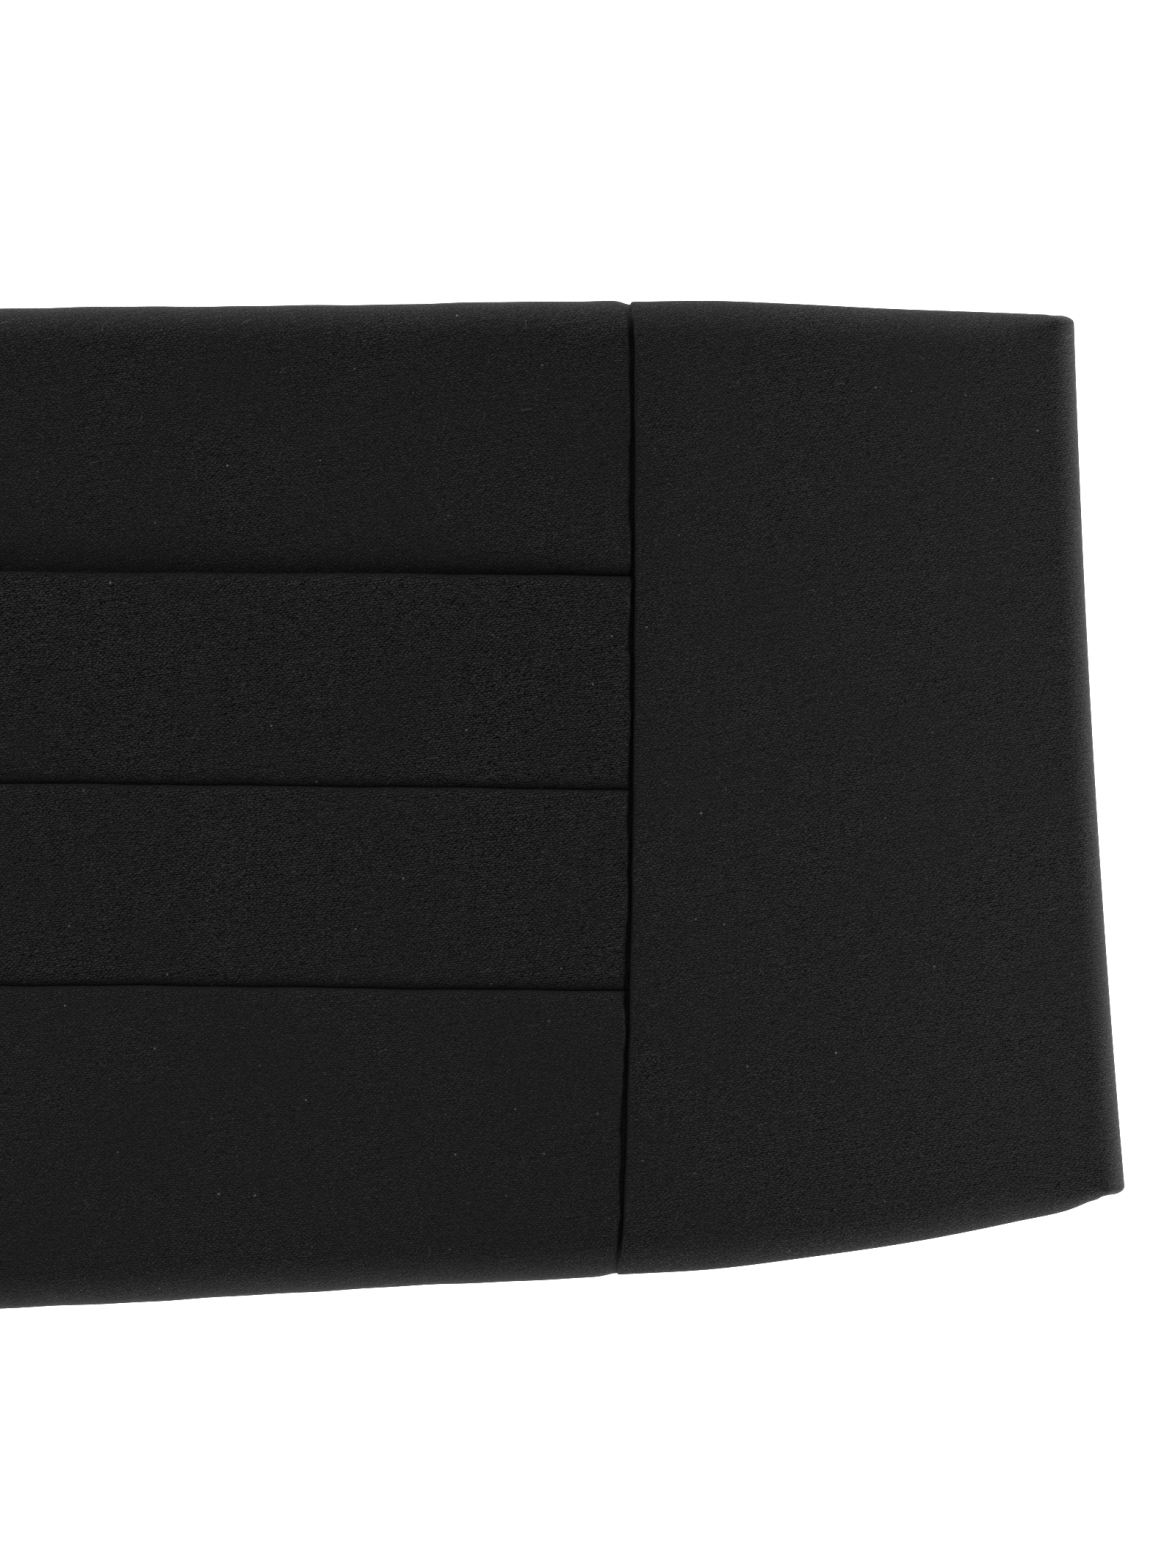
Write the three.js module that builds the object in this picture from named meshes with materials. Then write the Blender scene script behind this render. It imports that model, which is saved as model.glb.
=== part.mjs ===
// A pleated dress cummerbund, fastened behind into a loop and laid face up on a table.
// Millimetres. X runs along the waist, Y towards the chest, Z up out of the front.
// The front layer arches over the back one, and the loop turns round a soft fold at each side.
import * as THREE from "three";

// Cloth and clearance
const CLOTH = 1; // one layer of the pleated front's cloth
const SIDE_WALL = 2.4; // side panel: cloth turned in on itself and pressed
const STRAP = 1.2; // woven back strap
const CLEARANCE = 0.3; // between pieces, and between layers that lie on each other

// Front, as it shows from above
const FRONT_HEIGHT = 127; // top edge to bottom edge at the centre front
const PLEATED_LENGTH = 312.9; // from one side seam to the other
const SIDE_LENGTH = 58.15; // from a seam to the side fold, half way up
const SEAM_BOW = 2.1; // how far the seam's bottom end lies inside its outermost point
const SEAM_BELLY = 0.28; // that point's height, as a share of FRONT_HEIGHT above its middle
const FOLD_LEAN = 0.062; // how far the side fold moves outwards for each millimetre down
const FOLD_HOLLOW = 1; // how far its ends bend outwards from that line

// Folds and edges
const PLEAT_DEPTH = 10; // how far each pleat's return, and the strip above it, run down behind it
const HEM_DEPTH = 12; // the top and bottom hems, turned to the back
const EDGE_ROLL = 3.6; // width over which the outer edges round off
const PRESSED_ROLL = 1; // the same round the side fold and behind, where they are pressed flat
const SEAM_ROLL = 1.6; // the same, where a side panel's turned edge meets the pleats
const SEAM_EDGE = 0.35; // share of the side panel's wall that is left at its very edge there
const FOLD_OPENING = 2.6; // clear inside the side fold
const CROWN = 9; // how much higher the centre front stands than the side folds
const CROWN_POWER = 3; // the front is nearly flat in the middle and curves more towards the folds

// Back
const WING_LENGTH = 112; // from the side fold to the side panel's tip
const STRAP_WIDTH = 36;
const WING_TIP_EXTRA = 4; // the tip is wider than the strap by this
const STRAP_LAP = 12; // strap sewn on to the inside of the tip
const STRAP_HEIGHT = 2.5; // the strap's middle above the middle of the front's height
const STRAP_FOLD_BACK = 14; // strap end turned back over the clasp's bar and sewn down
const STRAP_DROP_RUN = 8; // length in which the strap comes down from one layer to the next

// Clasp: a flat plate with a slot for each strap end
const BAR = 3.6; // width of its end bars and of the bar between the slots
const PLATE = 1.8; // thickness
const SLOT = 4.2; // along the waist
const SLOT_EXTRA = 2; // the slots are longer than the strap is wide by this
const CLASP_RIM = 3; // beyond the ends of the slots
const CLASP_CORNER = 2;
const CLASP_BEVEL = 0.4;

// Where the top edge, the pleats' folds and the bottom edge lie, as shares of FRONT_HEIGHT above its
// middle. along is the share of the way from the centre front to the seam.
const FRONT_ROWS = [
  { along: 0, top: 0.494, fold2: 0.241, fold3: 0.031, fold4: -0.169, bottom: -0.506 },
  { along: 0.5, top: 0.498, fold2: 0.24, fold3: 0.03, fold4: -0.169, bottom: -0.491 },
  { along: 0.75, top: 0.502, fold2: 0.238, fold3: 0.028, fold4: -0.171, bottom: -0.4738 },
  { along: 1, top: 0.506, fold2: 0.236, fold3: 0.023, fold4: -0.175, bottom: -0.459 },
];
// The side panel's edges in the same shares. along is 0 at the seam, 1 where the side fold starts to
// turn and 2 where it has turned flat on to the table.
const SIDE_ROWS = [
  { along: 0, top: 0.505, bottom: -0.4575 },
  { along: 0.2, top: 0.506, bottom: -0.452 },
  { along: 0.4, top: 0.503, bottom: -0.44 },
  { along: 0.62, top: 0.4985, bottom: -0.4245 },
  { along: 0.83, top: 0.4955, bottom: -0.405 },
  { along: 0.94, top: 0.4938, bottom: -0.3935 },
  { along: 1, top: 0.4928, bottom: -0.383 },
  { along: 1.04, top: 0.4923, bottom: -0.3815 },
  { along: 1.15, top: 0.492, bottom: -0.3798 },
  { along: 1.5, top: 0.4915, bottom: -0.377 },
  { along: 2, top: 0.484, bottom: -0.352 },
];
// Behind, each edge runs from its height at the side fold, 0, to the edge of the tip, 1.
const WING_ROWS = [
  { along: 0, top: 0, bottom: 0 },
  { along: 0.25, top: 0.13, bottom: 0.32 },
  { along: 0.5, top: 0.4, bottom: 0.59 },
  { along: 0.75, top: 0.75, bottom: 0.82 },
  { along: 1, top: 1, bottom: 1 },
];

// How finely the shapes are cut
const PLEAT_SPANS = 16; // along the front
const TURN_STEPS = 4; // in each quarter turn of an edge
const SEAM_STATIONS = [0, 0.1, 0.4, 1]; // across SEAM_ROLL, closest where it is steepest
const SIDE_SPANS = 6; // seam to side fold
const FOLD_STEPS = 8; // round the side fold
const WING_SPANS = 7; // behind
const FACE_SPANS = 4; // across the flat of a side panel

const QUARTER = Math.PI / 2;
const mix = THREE.MathUtils.lerp;

// Reads a table's columns anywhere along it, on a smooth curve through its rows.
function curveThrough(rows, startEnding = THREE.ZeroCurvatureEnding) {
  const names = Object.keys(rows[0]).filter((name) => name !== "along");
  const curve = new THREE.CubicInterpolant(
    rows.map((row) => row.along),
    rows.flatMap((row) => names.map((name) => row[name])),
    names.length,
  );
  curve.settings = { endingStart: startEnding, endingEnd: THREE.ZeroCurvatureEnding };
  return (along) => {
    const values = curve.evaluate(along);
    return Object.fromEntries(names.map((name, i) => [name, values[i]]));
  };
}
const frontRow = curveThrough(FRONT_ROWS, THREE.ZeroSlopeEnding); // level at the centre front
const sideRow = curveThrough(SIDE_ROWS);
const wingRow = curveThrough(WING_ROWS);

// The side fold is a half round about an axis that leans and bends as the fold does.
const FOLD_INSIDE = FOLD_OPENING / 2;
const FOLD_OUTSIDE = FOLD_INSIDE + SIDE_WALL;
const AXIS_HEIGHT = FOLD_OUTSIDE;
const axisX = (y) => {
  const hollow = FOLD_HOLLOW * (y / (FRONT_HEIGHT / 2)) ** 2;
  return PLEATED_LENGTH / 2 + SIDE_LENGTH - FOLD_LEAN * y + hollow - FOLD_OUTSIDE;
};
const STEEPEST = (CROWN_POWER * CROWN) / axisX(0); // slope of the front where the fold takes over
const FOLD_START = Math.atan(STEEPEST); // angle already turned there
const foldX = (y) => axisX(y) + FOLD_INSIDE * Math.sin(FOLD_START);
const FOLD_HEIGHT = AXIS_HEIGHT + FOLD_INSIDE * Math.cos(FOLD_START);
const TIP_X = axisX(STRAP_HEIGHT) - WING_LENGTH; // where each side panel ends behind

// The seam bows outwards, furthest at SEAM_BELLY.
const seamX = (y) => {
  const share = (y / FRONT_HEIGHT - SEAM_BELLY) / (0.5 + SEAM_BELLY);
  return PLEATED_LENGTH / 2 - SEAM_BOW * share ** 2;
};

// A point of the front layer: x and y from above, and depth out from the side towards the wearer.
function onFront(x, y, depth) {
  const share = Math.abs(x) / foldX(y);
  const height = FOLD_HEIGHT + CROWN * (1 - share ** CROWN_POWER);
  const lean = Math.atan(STEEPEST * share ** (CROWN_POWER - 1));
  return new THREE.Vector3(
    x + Math.sign(x) * depth * Math.sin(lean),
    y,
    height + depth * Math.cos(lean),
  );
}

// A point of the right side panel. along runs from the seam, 0, over the side fold, 1 to 2, to the
// tip, 3. It is the same table coordinate as in SIDE_ROWS, with WING_ROWS after it.
function onSide(along, y, depth) {
  if (along <= 1) return onFront(mix(seamX(y) + CLEARANCE / 2, foldX(y), along), y, depth);
  if (along <= 2) {
    const turned = mix(FOLD_START, Math.PI, along - 1);
    const radius = FOLD_INSIDE + depth;
    return new THREE.Vector3(
      axisX(y) + radius * Math.sin(turned),
      y,
      AXIS_HEIGHT + radius * Math.cos(turned),
    );
  }
  return new THREE.Vector3(mix(axisX(y), TIP_X, along - 2), y, SIDE_WALL - depth);
}

// Rings of points, one for each station, joined into a closed skin. cap lists the triangles that
// close the ring at either end.
function loft(rings, cap) {
  const count = rings[0].length;
  const index = [];
  for (let ring = 0; ring + 1 < rings.length; ring++) {
    for (let i = 0; i < count; i++) {
      const j = (i + 1) % count;
      const [a, b] = [ring * count + i, ring * count + j];
      index.push(a, b, a + count, b, b + count, a + count);
    }
  }
  const last = (rings.length - 1) * count;
  for (const [a, b, c] of cap) index.push(a, c, b, last + a, last + b, last + c);
  const positions = rings.flat().flatMap((point) => point.toArray());
  const geometry = new THREE.BufferGeometry();
  geometry.setAttribute("position", new THREE.Float32BufferAttribute(positions, 3));
  geometry.setIndex(index);
  geometry.computeVertexNormals();
  return geometry;
}

// The triangles between the two sides of a ring that comes back over the same places.
function ladder(count) {
  const cap = [];
  for (let i = 0; i < count / 2; i++) {
    const [next, across, mate] = [i + 1, count - i - 1, (count - i) % count];
    if (next !== across) cap.push([i, next, across]);
    if (mate !== i) cap.push([i, across, mate]);
  }
  return cap;
}

// The corners of an ellipse's arc about a middle, from one angle to another.
function arc(y, depth, radiusY, radiusDepth, from, to, steps) {
  return Array.from({ length: steps + 1 }, (_, i) => {
    const angle = mix(from, to, i / steps);
    return new THREE.Vector2(
      y + radiusY * Math.cos(angle),
      depth + radiusDepth * Math.sin(angle),
    );
  });
}
const at = (y, depth) => new THREE.Vector2(y, depth);

// One face of a strip that eases from one height to another, as its corners from `from` to `to`.
function ease(from, to) {
  return [0, 0.25, 0.5, 0.75, 1].map((share) =>
    at(mix(from.x, to.x, share), mix(from.y, to.y, THREE.MathUtils.smoothstep(share, 0, 1))),
  );
}

// Undersides of the layers that lie on each other behind a fold: the strip above, the return, the face.
const LAYER = CLOTH + CLEARANCE;
const [LOWEST, RETURN, FACE] = [0, LAYER, 2 * LAYER];
const NOSE = (2 * CLOTH + CLEARANCE) / 2; // radius round the outside of a pleat's fold
const EASE_ROOM = 1.2; // kept level before and after a strip eases down

// What a strip's outline can begin and end with. Each gives its outer corners, from the back up to
// the face, its inner corners, from the face to the back, the height of the plain strip that follows,
// and where that strip may start to ease down.
function foldedHead(fold) {
  const [middle, end] = [fold - NOSE, fold - PLEAT_DEPTH];
  const outer = [
    at(end, RETURN),
    ...arc(middle, RETURN + NOSE, NOSE, NOSE, -QUARTER, QUARTER, 2 * TURN_STEPS),
  ];
  const inner = [at(middle, FACE), at(middle, RETURN + CLOTH), at(end, RETURN + CLOTH)];
  return { outer, inner, level: FACE, free: end - EASE_ROOM };
}
// An edge hemmed to the back. way is 1 for the top edge and -1 for the bottom one.
function hem(edge, way) {
  const [rim, half, face] = [edge - way * EDGE_ROLL, CLOTH / 2, RETURN + CLOTH];
  const outer = [
    at(edge - way * HEM_DEPTH, LOWEST),
    ...arc(edge - way * half, half, way * half, half, -QUARTER, 0, 2),
    ...arc(rim, half, way * EDGE_ROLL, face - half, 0, QUARTER, TURN_STEPS + 1).slice(1),
  ];
  const inner = [at(rim, RETURN), at(rim, CLOTH), at(edge - way * HEM_DEPTH, CLOTH)];
  return { outer, inner, level: RETURN, free: edge - way * (HEM_DEPTH + EASE_ROOM) };
}
// The end of a strip that has eased down and runs on behind the next pleat.
function tuckedFoot(nextFold) {
  const end = nextFold - PLEAT_DEPTH;
  const outer = [at(end, LOWEST), at(end, LOWEST + CLOTH)];
  return { outer, inner: [], level: LOWEST, free: nextFold + EASE_ROOM };
}

// A strip's whole outline, from its head over its face to its foot and back up behind.
function stripOutline(head, foot) {
  const [from, to] = [at(head.free, head.level), at(foot.free, foot.level)];
  const raise = (point) => at(point.x, point.y + CLOTH);
  return [
    ...head.outer,
    ...ease(raise(from), raise(to)),
    ...foot.outer.toReversed(),
    ...foot.inner.toReversed(),
    ...ease(to, from),
    ...head.inner,
  ];
}

// A pleat from seam to seam: the outline at each station, laid on the front.
function pleat(headOf, footOf) {
  const rings = [];
  const flats = [];
  for (let span = 0; span <= PLEAT_SPANS; span++) {
    const along = mix(-1, 1, span / PLEAT_SPANS);
    const row = frontRow(Math.abs(along));
    for (const name in row) row[name] *= FRONT_HEIGHT;
    const flat = stripOutline(headOf(row), footOf(row));
    flats.push(flat);
    const ring = flat.map(({ x: y, y: depth }) =>
      onFront(along * (seamX(y) - CLEARANCE / 2), y, depth),
    );
    rings.push(ring);
  }
  return loft(rings, THREE.ShapeUtils.triangulateShape(flats[0], []));
}

// A side panel, rounded off along its outer edges and at the seam. The edges' rolls narrow on the way
// to the side fold, from ROLL_ENDS[0] to ROLL_ENDS[1].
const ROLL_ENDS = [0.8, 1.1];
function sidePanel() {
  const stations = SEAM_STATIONS.map((share) => (share * SEAM_ROLL) / SIDE_LENGTH);
  for (let i = 1; i <= SIDE_SPANS; i++) stations.push(i / SIDE_SPANS);
  for (let i = 1; i <= FOLD_STEPS; i++) stations.push(1 + i / FOLD_STEPS);
  for (let i = 1; i <= WING_SPANS; i++) stations.push(2 + i / WING_SPANS);
  const tip = (STRAP_WIDTH + WING_TIP_EXTRA) / 2;
  const flats = stations.map((along) => {
    const side = sideRow(Math.min(along, 2));
    const wing = wingRow(Math.max(along - 2, 0));
    const top = mix(side.top * FRONT_HEIGHT, STRAP_HEIGHT + tip, wing.top);
    const bottom = mix(side.bottom * FRONT_HEIGHT, STRAP_HEIGHT - tip, wing.bottom);
    const fromRoll = 1 - Math.min((along * SIDE_LENGTH) / SEAM_ROLL, 1);
    const wall = SIDE_WALL * mix(SEAM_EDGE, 1, Math.sqrt(1 - fromRoll ** 2));
    const roll = mix(EDGE_ROLL, PRESSED_ROLL, THREE.MathUtils.smoothstep(along, ...ROLL_ENDS));
    const face = [
      ...arc(top - roll, 0, roll, wall, 0, QUARTER, TURN_STEPS),
      ...Array.from({ length: FACE_SPANS - 1 }, (_, i) =>
        at(mix(top - roll, bottom + roll, (i + 1) / FACE_SPANS), wall),
      ),
      ...arc(bottom + roll, 0, roll, wall, QUARTER, 2 * QUARTER, TURN_STEPS),
    ];
    return face.concat(face.slice(1, -1).map((point) => at(point.x, 0)).reverse());
  });
  const rings = flats.map((flat, i) =>
    flat.map(({ x: y, y: depth }) => onSide(stations[i], y, depth)),
  );
  return loft(rings, ladder(rings[0].length));
}

// The clasp's plate lies on the strap, as high as the strap is thick.
const PLATE_HEIGHT = STRAP + CLEARANCE;
const CLASP_LENGTH = 3 * BAR + 2 * SLOT;
const CLASP_WIDTH = STRAP_WIDTH + SLOT_EXTRA + 2 * CLASP_RIM;

// A rectangle with round corners, centred on x and y.
function roundedRectangle(path, x, y, width, height, corner) {
  const [w, h] = [width / 2 - corner, height / 2 - corner];
  path.absarc(x + w, y + h, corner, 0, QUARTER);
  path.absarc(x - w, y + h, corner, QUARTER, 2 * QUARTER);
  path.absarc(x - w, y - h, corner, 2 * QUARTER, 3 * QUARTER);
  path.absarc(x + w, y - h, corner, 3 * QUARTER, 4 * QUARTER);
  path.closePath();
  return path;
}

function clasp() {
  const shape = roundedRectangle(new THREE.Shape(), 0, 0, CLASP_LENGTH, CLASP_WIDTH, CLASP_CORNER);
  for (const side of [-1, 1]) {
    const middle = (side * (BAR + SLOT)) / 2;
    shape.holes.push(
      roundedRectangle(new THREE.Path(), middle, 0, SLOT, STRAP_WIDTH + SLOT_EXTRA, CLASP_CORNER / 2),
    );
  }
  const geometry = new THREE.ExtrudeGeometry(shape, {
    depth: PLATE - 2 * CLASP_BEVEL,
    bevelThickness: CLASP_BEVEL,
    bevelSize: CLASP_BEVEL,
    bevelOffset: -CLASP_BEVEL,
    bevelSegments: 2,
    curveSegments: 3,
  });
  return geometry.translate(0, STRAP_HEIGHT, PLATE_HEIGHT + CLASP_BEVEL);
}

// The right strap from its side, x along the waist and y up: sewn on the wing's tip, down to the
// table, under the clasp's end bar, round it through the slot, and back on to itself.
function strap() {
  const barInside = BAR / 2 + SLOT;
  const barOutside = barInside + BAR;
  const [inside, outside] = [PLATE / 2 + CLEARANCE, PLATE / 2 + CLEARANCE + STRAP];
  const onWing = SIDE_WALL + CLEARANCE;
  const overPlate = PLATE_HEIGHT + PLATE + CLEARANCE;
  const onStrap = STRAP + CLEARANCE;
  const dropStart = TIP_X - CLEARANCE;
  const dropEnd = dropStart - STRAP_DROP_RUN;
  const backStart = barOutside + CLEARANCE;
  const backEnd = backStart + STRAP_DROP_RUN;
  const shape = new THREE.Shape();
  const fall = (x0, z0, x1, z1) => shape.bezierCurveTo((x0 + x1) / 2, z0, (x0 + x1) / 2, z1, x1, z1);
  shape.moveTo(TIP_X + STRAP_LAP, onWing);
  shape.lineTo(TIP_X + STRAP_LAP, onWing + STRAP);
  shape.lineTo(dropStart, onWing + STRAP);
  fall(dropStart, onWing + STRAP, dropEnd, STRAP);
  shape.lineTo(barInside, STRAP);
  shape.absarc(barInside, outside, inside, -QUARTER, QUARTER, true);
  shape.lineTo(backStart, overPlate);
  fall(backStart, overPlate, backEnd, onStrap);
  shape.lineTo(backEnd + STRAP_FOLD_BACK, onStrap);
  shape.lineTo(backEnd + STRAP_FOLD_BACK, onStrap + STRAP);
  shape.lineTo(backEnd, onStrap + STRAP);
  fall(backEnd, onStrap + STRAP, backStart, overPlate + STRAP);
  shape.lineTo(barInside, overPlate + STRAP);
  shape.absarc(barInside, outside, outside, QUARTER, -QUARTER, false);
  shape.lineTo(dropEnd, 0);
  fall(dropEnd, 0, dropStart, onWing);
  shape.closePath();
  const geometry = new THREE.ExtrudeGeometry(shape, {
    depth: STRAP_WIDTH,
    bevelEnabled: false,
    curveSegments: 8,
  });
  return geometry.rotateX(QUARTER).translate(0, STRAP_HEIGHT + STRAP_WIDTH / 2, 0);
}

const cloth = new THREE.MeshStandardMaterial({ color: 0x1d1d1e, roughness: 0.82, metalness: 0 });
const webbing = new THREE.MeshStandardMaterial({ color: 0x18181a, roughness: 0.75, metalness: 0 });
const enamel = new THREE.MeshStandardMaterial({ color: 0x101012, roughness: 0.35, metalness: 0.2 });

function named(name, geometry, material) {
  const mesh = new THREE.Mesh(geometry, material);
  mesh.name = name;
  return mesh;
}

const cummerbund = new THREE.Group();
cummerbund.add(
  named("pleat_1_top", pleat((row) => hem(row.top, 1), (row) => tuckedFoot(row.fold2)), cloth),
  named("pleat_2", pleat((row) => foldedHead(row.fold2), (row) => tuckedFoot(row.fold3)), cloth),
  named("pleat_3", pleat((row) => foldedHead(row.fold3), (row) => tuckedFoot(row.fold4)), cloth),
  named("pleat_4_bottom", pleat((row) => foldedHead(row.fold4), (row) => hem(row.bottom, -1)), cloth),
  named("back_clasp", clasp(), enamel),
);

// The left half is the right one in a mirror.
const [sideShape, strapShape] = [sidePanel(), strap()];
for (const [side, scale] of [["right", 1], ["left", -1]]) {
  const half = new THREE.Group();
  half.scale.x = scale;
  half.add(
    named("side_panel_" + side, sideShape, cloth),
    named("back_strap_" + side, strapShape, webbing),
  );
  cummerbund.add(half);
}

// The origin is under the middle of the whole piece, on the table.
const reach = new THREE.Box3().setFromObject(cummerbund);
cummerbund.position.y = -(reach.min.y + reach.max.y) / 2;

export default cummerbund;
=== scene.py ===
# %% [markdown]
# # A pleated dress cummerbund, laid face up on a pale table
#
# A cummerbund is a sash worn round the waist of evening dress. Its front is four strips of black
# cloth, pleated so that the folds open upwards, between two plain side panels that taper to a strap
# and a clasp behind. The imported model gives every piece's place. It could be rendered as it is, but
# its faces are coarse, so each cloth piece is worked out again here as a fine surface in the same
# place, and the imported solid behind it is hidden.

import bpy
import numpy as np
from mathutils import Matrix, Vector


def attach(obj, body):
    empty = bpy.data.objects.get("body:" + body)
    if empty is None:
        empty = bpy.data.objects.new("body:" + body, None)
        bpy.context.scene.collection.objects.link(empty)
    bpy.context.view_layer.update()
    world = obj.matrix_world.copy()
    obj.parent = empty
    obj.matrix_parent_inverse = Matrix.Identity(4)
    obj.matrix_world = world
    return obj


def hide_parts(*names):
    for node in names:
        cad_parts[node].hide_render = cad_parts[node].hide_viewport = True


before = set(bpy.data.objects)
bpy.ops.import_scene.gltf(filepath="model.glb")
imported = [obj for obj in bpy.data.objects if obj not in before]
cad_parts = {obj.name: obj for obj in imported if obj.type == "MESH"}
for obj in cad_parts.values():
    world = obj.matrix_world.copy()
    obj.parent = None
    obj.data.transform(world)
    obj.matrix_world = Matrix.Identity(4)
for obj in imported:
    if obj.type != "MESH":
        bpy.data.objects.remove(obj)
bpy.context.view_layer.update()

# %% [markdown]
# ## The sizes that everything follows
#
# The shapes below are worked out in millimetres and turned into metres when a mesh is made. The
# driving sizes are the real cummerbund's: how high the front is, how far apart the seams are, how the
# front arches over the back. Short tables say where each edge runs, as shares of those sizes, and a
# smooth curve is drawn through their rows.

# %% Driving sizes
MM = 0.001
FRONT_HEIGHT = 127
PLEATED_LENGTH = 312.2  # seam to seam
SIDE_LENGTH = 58.5  # seam to side fold, half way up
SEAM_BELLY = 0.28  # the seam lies furthest out at this share of the height above the middle
SEAM_BOW = 1.85  # and this much further in at the bottom
FOLD_LEAN = 0.062  # the side fold moves outwards by this for each millimetre down
FOLD_HOLLOW = 1  # its ends bend outwards from that line by this
SIDE_WALL = 2.4  # pressed layers of a side panel
FOLD_OPENING = 2.6
CROWN = 9  # the centre front stands this much above the side folds
CROWN_POWER = 3
CLEARANCE = 0.3
WING_LENGTH = 112  # side fold to tip, behind
STRAP_WIDTH = 36
STRAP_HEIGHT = 2.5  # above the middle of the front
STRAP_WALL = 1.2
WING_TIP = (STRAP_WIDTH + 4) / 2

# %% Tables of the edges


def table(columns, *rows):
    """Rows of numbers as named columns, each an array."""
    return dict(zip(columns.split(), np.array(rows, float).T))


FRONT_ROWS = table(
    "along top fold2 fold3 fold4 bottom",  # along: 0 at the centre front, 1 at the seam
    (0, 0.494, 0.2388, 0.0288, -0.1712, -0.506),
    (0.5, 0.498, 0.2378, 0.0278, -0.1712, -0.491),
    (0.75, 0.502, 0.2358, 0.0258, -0.1732, -0.4738),
    (1, 0.506, 0.2338, 0.0208, -0.1772, -0.459),
)
SIDE_ROWS = table(
    "along top bottom",  # along: 0 at the seam, 1 where the side fold starts, 2 where it ends
    (0, 0.505, -0.4575),
    (0.2, 0.506, -0.452),
    (0.4, 0.503, -0.440),
    (0.62, 0.4985, -0.4245),
    (0.83, 0.4955, -0.405),
    (0.94, 0.4938, -0.3935),
    (1, 0.4928, -0.383),
    (1.04, 0.4923, -0.3815),
    (1.15, 0.492, -0.3798),
    (1.5, 0.4915, -0.377),
    (2, 0.484, -0.352),
)
WING_ROWS = table(
    "along top bottom",  # along: 0 at the side fold, 1 at the tip; columns: share of the way to it
    (0, 0, 0),
    (0.25, 0.13, 0.32),
    (0.5, 0.40, 0.59),
    (0.75, 0.75, 0.82),
    (1, 1, 1),
)


def read(rows, column, along, level_start=False):
    """One column anywhere along a table: a cubic from row to row, whose slope at each row is the
    one between its neighbours. level_start makes the curve start level."""
    knots, values = rows["along"], rows[column]
    slopes = np.gradient(values, knots)
    if level_start:
        slopes[0] = 0
    i = np.clip(np.searchsorted(knots, along) - 1, 0, len(knots) - 2)
    width = knots[i + 1] - knots[i]
    t = (along - knots[i]) / width
    start = (2 * t**3 - 3 * t**2 + 1) * values[i] + (t**3 - 2 * t**2 + t) * width * slopes[i]
    end = (3 * t**2 - 2 * t**3) * values[i + 1] + (t**3 - t**2) * width * slopes[i + 1]
    return start + end


def ease(value, start, end):
    """0 before start, 1 after end, and a smooth cubic between them."""
    t = np.clip((value - start) / (end - start), 0, 1)
    return t * t * (3 - 2 * t)


seam_shares = FRONT_ROWS["top"][-1] - FRONT_ROWS["bottom"][-1]
print("front height at the seam, mm:", round(FRONT_HEIGHT * seam_shares, 1))

# %% [markdown]
# ## How the cloth lies
#
# Laid down as a loop, the front arches over the back: nearly flat in the middle, steeper towards each
# side fold, where the cloth turns right round on to the table. A sculptor might bend a flat strip with
# a lattice. Here two formulas carry any point of the flat cloth to its place, so every piece that uses
# them stays the same distance from its neighbours.

# %% The arch and the side fold
FOLD_INSIDE = FOLD_OPENING / 2
FOLD_OUTSIDE = FOLD_INSIDE + SIDE_WALL


def axis_x(y):
    """Where the side fold's axis runs: it leans outwards downwards, and its ends bend outwards with
    the square of their height."""
    hollow = FOLD_HOLLOW * (y / (FRONT_HEIGHT / 2)) ** 2
    return PLEATED_LENGTH / 2 + SIDE_LENGTH - FOLD_LEAN * y + hollow - FOLD_OUTSIDE


STEEPEST = CROWN_POWER * CROWN / axis_x(0)
FOLD_START = np.arctan(STEEPEST)
FOLD_HEIGHT = FOLD_OUTSIDE + FOLD_INSIDE * np.cos(FOLD_START)


def fold_x(y):
    """Where the arch ends and the half turn starts."""
    return axis_x(y) + FOLD_INSIDE * np.sin(FOLD_START)


SEAM_WAVER = 0.09
SEAM_WAVES = (0.9, 0), (2.3, 1), (0.37, 0)  # mm to a radian, and the phase
SEAM_HOOKS = table(
    "end hook run",  # the end as a share of the height, how far in it hooks, and over what height
    (0.503, 0.25, 1.5),
    (-0.457, 0.45, 3),
)


def seam_x(y):
    """The side seam: a parabola that bows outwards, furthest above the middle. Three sine waves make
    it waver, and each end hooks inwards by hook * exp(-(distance / run) ** 2)."""
    share = (y / FRONT_HEIGHT - SEAM_BELLY) / (0.5 + SEAM_BELLY)
    waver = SEAM_WAVER * sum(np.sin(y / length + phase) for length, phase in SEAM_WAVES) / len(SEAM_WAVES)
    hooks = 0
    for end, hook, run in zip(*SEAM_HOOKS.values()):
        hooks = hooks + hook * np.exp(-(((y - FRONT_HEIGHT * end) / run) ** 2))
    return PLEATED_LENGTH / 2 - SEAM_BOW * share**2 + waver - hooks


# %% [markdown]
# Pressed cloth is never quite flat, so a few slow, very low waves are added, drawn at random with a
# fixed seed. They die away towards the side folds, where the turned cloth holds itself straight.

# %% Unevenness and the front
DRIFT = 0.22
DRIFT_LENGTHS = 34, 95  # the shortest and the longest wave
DRIFT_WAVES = 8
DRIFT_FADE = 8  # the power with which the waves die away
rng = np.random.default_rng(4)
WAVES = [
    (rng.uniform(*DRIFT_LENGTHS), rng.uniform(0, np.pi), rng.uniform(0, 2 * np.pi))
    for _ in range(DRIFT_WAVES)
]


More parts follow.
